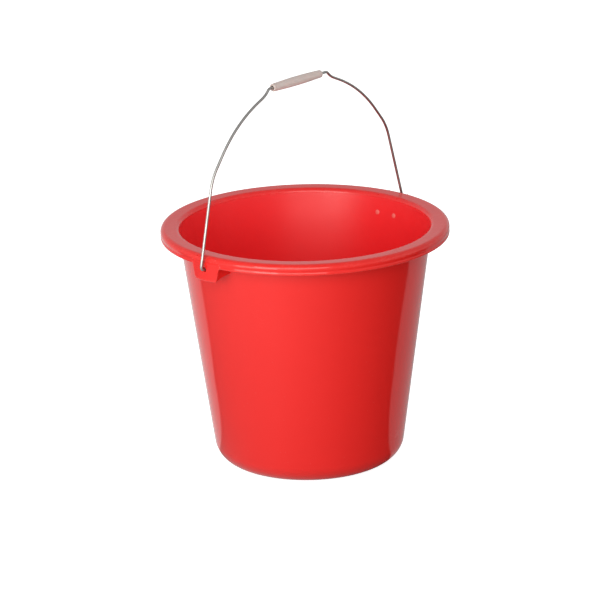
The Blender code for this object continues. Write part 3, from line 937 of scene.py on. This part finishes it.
def buildPalePlastic(cfg):
    # colour = off-white mixed with a yellowed tone, grimy in scratches and specks, with painted shade at the
    # ends and in the bore roughness = base + cloudy change + grime and the painted end shade; bump = moulded
    # grain and handling scratches
    material, tree, shader, coordinates = startMaterial("paleSleevePlastic")
    links = tree.links
    place = coordinates.outputs["Object"]
    tone = placeGroup(tree, cloudyTone, Vector=place, **cfg["tone"]).outputs["Tone"]
    grain = placeGroup(tree, cloudyTone, Vector=place, **cfg["grain"]).outputs["Height"]
    scratch = placeGroup(tree, hairScratches, Vector=place, **cfg["scratch"]).outputs["Mark"]
    specks = placeGroup(tree, fineSpecks, Vector=place, **cfg["specks"]).outputs["Speck"]
    body = addMix(tree, addMath(tree, "MULTIPLY", tone, 0.6), cfg["colour"], cfg["yellowed"])
    # painted shade at the ends and in the bore, then real dirt in scratches and specks
    darkening = addMath(tree, "MULTIPLY", addField(tree, "endAndBoreShade"), addShare(tree, 0.08, tone, 0.2))
    darkening = addMath(tree, "MAXIMUM", darkening, addMath(tree, "MULTIPLY", scratch, 0.22))
    darkening = addMath(tree, "MAXIMUM", darkening, addMath(tree, "MULTIPLY", specks, 0.35), clamp=True)
    links.new(addMix(tree, darkening, body, cfg["grimeAndShadeColour"]), shader.inputs["Base Color"])
    rough = addShare(tree, cfg["roughness"], addMath(tree, "SUBTRACT", tone, 0.5), 0.16)
    links.new(addShare(tree, rough, darkening, 0.2, clamp=True), shader.inputs["Roughness"])
    normal = addBump(tree, grain, cfg["grainDistance"], 0.5)
    links.new(addBump(tree, scratch, cfg["scratchDistance"], -0.4, normal), shader.inputs["Normal"])
    shader.inputs["IOR"].default_value = cfg["ior"]
    shader.inputs["Subsurface Weight"].default_value = cfg["subsurface"]
    shader.inputs["Subsurface Radius"].default_value = cfg["subsurfaceRadius"]
    shader.inputs["Subsurface Scale"].default_value = cfg["subsurfaceScale"]
    return material


paleSurface = buildPalePlastic(palePlastic)


# the grip, in mm
grip = {
    "length": 76.0,
    "middleRadius": 5.1,
    "endRadius": 4.2,
    "boreRadius": 2.1,
    "edge": 1.4,
    "boreEdge": 0.4,
    "sides": 64,
    "spans": 48,
    "seamHeight": 0.13,
    "seamWidth": 0.05,
}


def buildGrip(cfg, material):
    # barrel r = end + swell * cos(pi t / 2) along X, with rounded ends, a straight bore and a mould line
    # on each side
    half = cfg["length"] / 2
    swell = cfg["middleRadius"] - cfg["endRadius"]
    t = np.linspace(-1, 1, cfg["spans"] + 1)
    barrel = np.stack([t * (half - cfg["edge"]), cfg["endRadius"] + swell * np.cos(t * np.pi / 2)], 1)
    edgeRadius = cfg["endRadius"] - cfg["edge"]
    rightEnd = arcPoints((half - cfg["edge"], edgeRadius), cfg["edge"], 90, 0, 8)[1:]
    bore, chamfer = cfg["boreRadius"], cfg["boreEdge"]
    mouth = np.array([
        [half, bore + chamfer], [half - chamfer * 0.4, bore + chamfer * 0.3], [half - chamfer, bore]])
    run = linePoints((half - chamfer, bore), (-half + chamfer, bore), 16)
    leftMouth, leftEnd = (mouth * [-1, 1])[-2::-1], (rightEnd * [-1, 1])[::-1]
    profile = np.concatenate([barrel, rightEnd, mouth, run, leftMouth, leftEnd])
    v = np.linspace(0, 2 * np.pi, cfg["sides"], endpoint=False)
    seam = np.exp(-(np.abs(np.angle(np.exp(1j * (2 * v)))) / 2 / cfg["seamWidth"]) ** 2)
    outside = (profile[:, 1] > edgeRadius + 0.2)[:, None]
    fade = smoothStep(np.abs(profile[:, 0]), half, half - 2.5)[:, None]
    radius = profile[:, 1:] + cfg["seamHeight"] * seam[None, :] * outside * fade
    points = np.stack([
        np.repeat(profile[:, :1], cfg["sides"], 1), radius * np.cos(v), radius * np.sin(v)], -1)
    points = points.reshape(-1, 3)
    # the last row of the profile joins the first, so one more row of quads is wrapped round
    quads = gridQuads(len(profile) + 1, cfg["sides"], True)[0] % len(points)
    if signedVolume(points, quads) < 0:
        quads = quads[:, ::-1]
    # painted shade over the last 4 mm of each end and in the bore
    inBore = np.hypot(points[:, 1], points[:, 2]) < bore + 0.3
    darkening = smoothStep(np.abs(points[:, 0]), half - 4.0, half) + inBore
    lifted = points + np.array([gripPlace, 0, crestHeight])
    placed = leanPlace(lifted, bailLean, swingPoint)
    fields = {"endAndBoreShade": np.clip(darkening, 0, 1)}
    return makePiece("gripSleeve", placed, [quads], material, fields=fields, sharpAngle=50)


gripSleeve = buildGrip(grip, paleSurface)
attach(gripSleeve, "grip")
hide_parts("grip")
print("grip:", len(gripSleeve.data.polygons), "faces")


# camera: angles in degrees, lengths in metres, lens in mm
shot = {
    "heading": 47.4,
    "pitch": 17.77,
    "roll": -1.33,
    "distance": 4.0,
    "lens": 222.5,
    "aimSide": -0.00708,
    "aimHeight": 0.1762,
}


def cameraAxes(cfg):
    # forward, right and up of a level camera, before its roll
    h, p = math.radians(cfg["heading"]), math.radians(cfg["pitch"])
    forward = Vector((math.sin(h) * math.cos(p), math.cos(h) * math.cos(p), -math.sin(p)))
    right = Vector((math.cos(h), -math.sin(h), 0))
    return forward, right, right.cross(forward)


def buildCamera(cfg):
    forward, right, up = cameraAxes(cfg)
    aim = right * cfg["aimSide"] + Vector((0, 0, cfg["aimHeight"]))
    r = math.radians(cfg["roll"])
    rolledRight = right * math.cos(r) + up * math.sin(r)
    rolledUp = up * math.cos(r) - right * math.sin(r)
    data = bpy.data.cameras.new("studioCamera")
    data.lens = cfg["lens"]
    data.sensor_width = 36
    data.clip_end = 100
    camera = bpy.data.objects.new("studioCamera", data)
    bpy.context.scene.collection.objects.link(camera)
    turn = Matrix((rolledRight, rolledUp, -forward)).transposed().to_4x4()
    camera.matrix_world = Matrix.Translation(aim - forward * cfg["distance"]) @ turn
    bpy.context.scene.camera = camera
    return camera


buildCamera(shot)


# studio: turns and lifts in degrees, lengths in metres; a turn of 0 is the camera's side
studio = {
    "keyTurn": -36.0,
    "keyDistance": 0.85,
    "keyHeight": 0.33,
    "keySize": (0.50, 0.42),
    "keyRadiance": 2.9,
    "frontTurn": -12.0,
    "frontLift": 23.0,
    "frontDistance": 1.7,
    "frontAim": 0.2,
    "frontSize": (1.7, 0.95),
    "frontRadiance": 2.9,
    "panelColour": (1.0, 0.985, 0.93),
    "skyHorizon": 0.73,
    "skyZenith": 0.30,
    "spreadHorizon": 0.58,
    "spreadZenith": 0.44,
    "floorGlow": 0.88,
    "floorPale": 0.9,
    "floorBounce": 0.6,
    "floorRadius": 6.0,
    "floorTurns": [-180, -112, -95, -60, -30, 0, 33, 52, 70, 85, 180],
    "floorShades": [0.20, 0.20, 0.36, 0.62, 0.66, 0.46, 0.21, 0.12, 0.06, 0.035, 0.035],
    "paleBehindRight": 0.46,
    "paleBehindLeft": 0.85,
}


def studioPlan(side, ahead):
    # side = to the camera's right, ahead = away from the camera
    h = math.radians(shot["heading"])
    return math.cos(h) * side + math.sin(h) * ahead, math.cos(h) * ahead - math.sin(h) * side


def orbitPoint(turnDeg, liftDeg, distance, height):
    # at that distance from the axis point of that height, turned from the camera's side and lifted
    turn, lift = math.radians(turnDeg), math.radians(liftDeg)
    reach = distance * math.cos(lift)
    x, y = studioPlan(math.sin(turn) * reach, -math.cos(turn) * reach)
    return Vector((x, y, height + distance * math.sin(lift)))


def addPanel(name, place, aim, size, radiance):
    # a soft box; its power is radiance * pi * area
    data = bpy.data.lights.new(name, "AREA")
    data.shape = "RECTANGLE"
    data.size, data.size_y = size
    data.energy = radiance * math.pi * size[0] * size[1]
    data.color = studio["panelColour"]
    light = bpy.data.objects.new(name, data)
    bpy.context.scene.collection.objects.link(light)
    light.location = place
    light.rotation_mode = "QUATERNION"
    light.rotation_quaternion = (aim - place).to_track_quat("-Z", "Y")
    light.visible_camera = False
    return light


def buildFloor(cfg):
    # polar grid; the field floorShade is painted light and shade that the floor shows only in reflections,
    # glowing
    # instead of being lit: darker to the front right, with soft-edged paler parts to the right and left
    # behind the pail
    wide = np.geomspace(0.95, cfg["floorRadius"], 14)
    rings = np.concatenate([[0.02, 0.05], np.linspace(0.07, 0.9, 60), wide])
    angles = np.radians(np.arange(0, 360, 0.5))
    rho, turn = np.meshgrid(rings, angles, indexing="ij")
    side, ahead = rho * np.sin(turn), -rho * np.cos(turn)
    signed = np.degrees(np.angle(np.exp(1j * turn)))
    front = np.interp(signed, cfg["floorTurns"], cfg["floorShades"])
    front = front * np.interp(rho, [0.17, 0.3, 0.5], [0.85, 1.0, 1.3])
    edgeRight = np.interp(rho, [0.10, 0.17, 0.276, 0.393, 0.554], [70, 80, 89.4, 96, 104.5])
    edgeLeft = -np.interp(rho, [0.10, 0.17, 0.283, 0.558], [92, 97, 107, 112])
    behindRight = smoothStep(signed, edgeRight - 0.8, edgeRight + 0.8)
    behindLeft = smoothStep(signed, edgeLeft + 1.5, edgeLeft - 1.5)
    shade = front * (1 - behindRight) * (1 - behindLeft)
    shade = shade + cfg["paleBehindRight"] * behindRight + cfg["paleBehindLeft"] * behindLeft
    level = -0.0004  # just under the foot ring
    x, y = studioPlan(side, ahead)
    points = np.stack([x, y, np.full_like(x, level)], -1).reshape(-1, 3)
    points = np.concatenate([points, [[0, 0, level]]])
    quads, _, _ = gridQuads(len(rings), len(angles), True)
    fan = endFans(len(rings), len(angles))[:len(angles)]
    material = bpy.data.materials.new("studioFloor")
    material.use_nodes = True
    tree = material.node_tree
    tree.nodes.remove(tree.nodes["Principled BSDF"])
    path = addNode(tree, "ShaderNodeLightPath").outputs
    bounce, seen = addNode(tree, "ShaderNodeBsdfDiffuse"), addNode(tree, "ShaderNodeBsdfDiffuse")
    mirrored, glow = addNode(tree, "ShaderNodeEmission"), addNode(tree, "ShaderNodeEmission")
    notSeen, final = addNode(tree, "ShaderNodeMixShader"), addNode(tree, "ShaderNodeMixShader")
    bright = addNode(tree, "ShaderNodeAddShader")
    bounce.inputs["Color"].default_value = (cfg["floorBounce"],) * 3 + (1,)
    seen.inputs["Color"].default_value = (cfg["floorPale"],) * 3 + (1,)
    glow.inputs["Strength"].default_value = cfg["floorGlow"]
    # reflected rays see the floor glow with the painted light and shade of floorShade; other rays see a white
    # floor that the lamps light
    for source, target in (
        (addField(tree, "floorShade"), mirrored.inputs["Strength"]),
        (seen.outputs[0], bright.inputs[0]),
        (glow.outputs[0], bright.inputs[1]),
        (path["Is Glossy Ray"], notSeen.inputs[0]),
        (bounce.outputs[0], notSeen.inputs[1]),
        (mirrored.outputs[0], notSeen.inputs[2]),
        (path["Is Camera Ray"], final.inputs[0]),
        (notSeen.outputs[0], final.inputs[1]),
        (bright.outputs[0], final.inputs[2]),
        (final.outputs[0], tree.nodes["Material Output"].inputs["Surface"]),
    ):
        tree.links.new(source, target)
    floor = makePiece("studioFloor", points, [quads, fan], material,
                      fields={"floorShade": np.concatenate([shade.ravel(), [0.4]])})
    return floor


def buildSky(cfg):
    # white where the camera looks past the floor; elsewhere horizon minus (horizon - zenith) * height,
    # and the spread levels for light that a surface scatters
    world = bpy.data.worlds.new("studioSky")
    bpy.context.scene.world = world
    world.use_nodes = True
    tree = world.node_tree
    background = tree.nodes["Background"]
    direction = addNode(tree, "ShaderNodeTexCoord")
    split = addNode(tree, "ShaderNodeSeparateXYZ")
    tree.links.new(direction.outputs["Generated"], split.inputs["Vector"])
    level = addRange(tree, split.outputs["Z"], 0.0, 1.0, cfg["skyHorizon"], cfg["skyZenith"], "LINEAR")
    path = addNode(tree, "ShaderNodeLightPath")
    spread = addRange(tree, split.outputs["Z"], 0.0, 1.0, cfg["spreadHorizon"], cfg["spreadZenith"], "LINEAR")
    level = addShare(tree, level, addMath(tree, "SUBTRACT", spread, level), path.outputs["Is Diffuse Ray"])
    white = addMath(tree, "MAXIMUM", path.outputs["Is Camera Ray"], level)
    background.inputs["Color"].default_value = (1, 1, 1, 1)
    tree.links.new(white, background.inputs["Strength"])
    return world


buildFloor(studio)
buildSky(studio)
keyPlace = orbitPoint(studio["keyTurn"], 0.0, studio["keyDistance"], studio["keyHeight"])
keyAim = Vector((0, 0, studio["keyHeight"]))
addPanel("keyPanel", keyPlace, keyAim, studio["keySize"], studio["keyRadiance"])
frontPlace = orbitPoint(studio["frontTurn"], studio["frontLift"], studio["frontDistance"], studio["frontAim"])
frontAim = Vector((0, 0, studio["frontAim"]))
addPanel("frontPanel", frontPlace, frontAim, studio["frontSize"], studio["frontRadiance"])
bpy.context.scene.view_settings.view_transform = "Standard"
print("studio and camera ready")
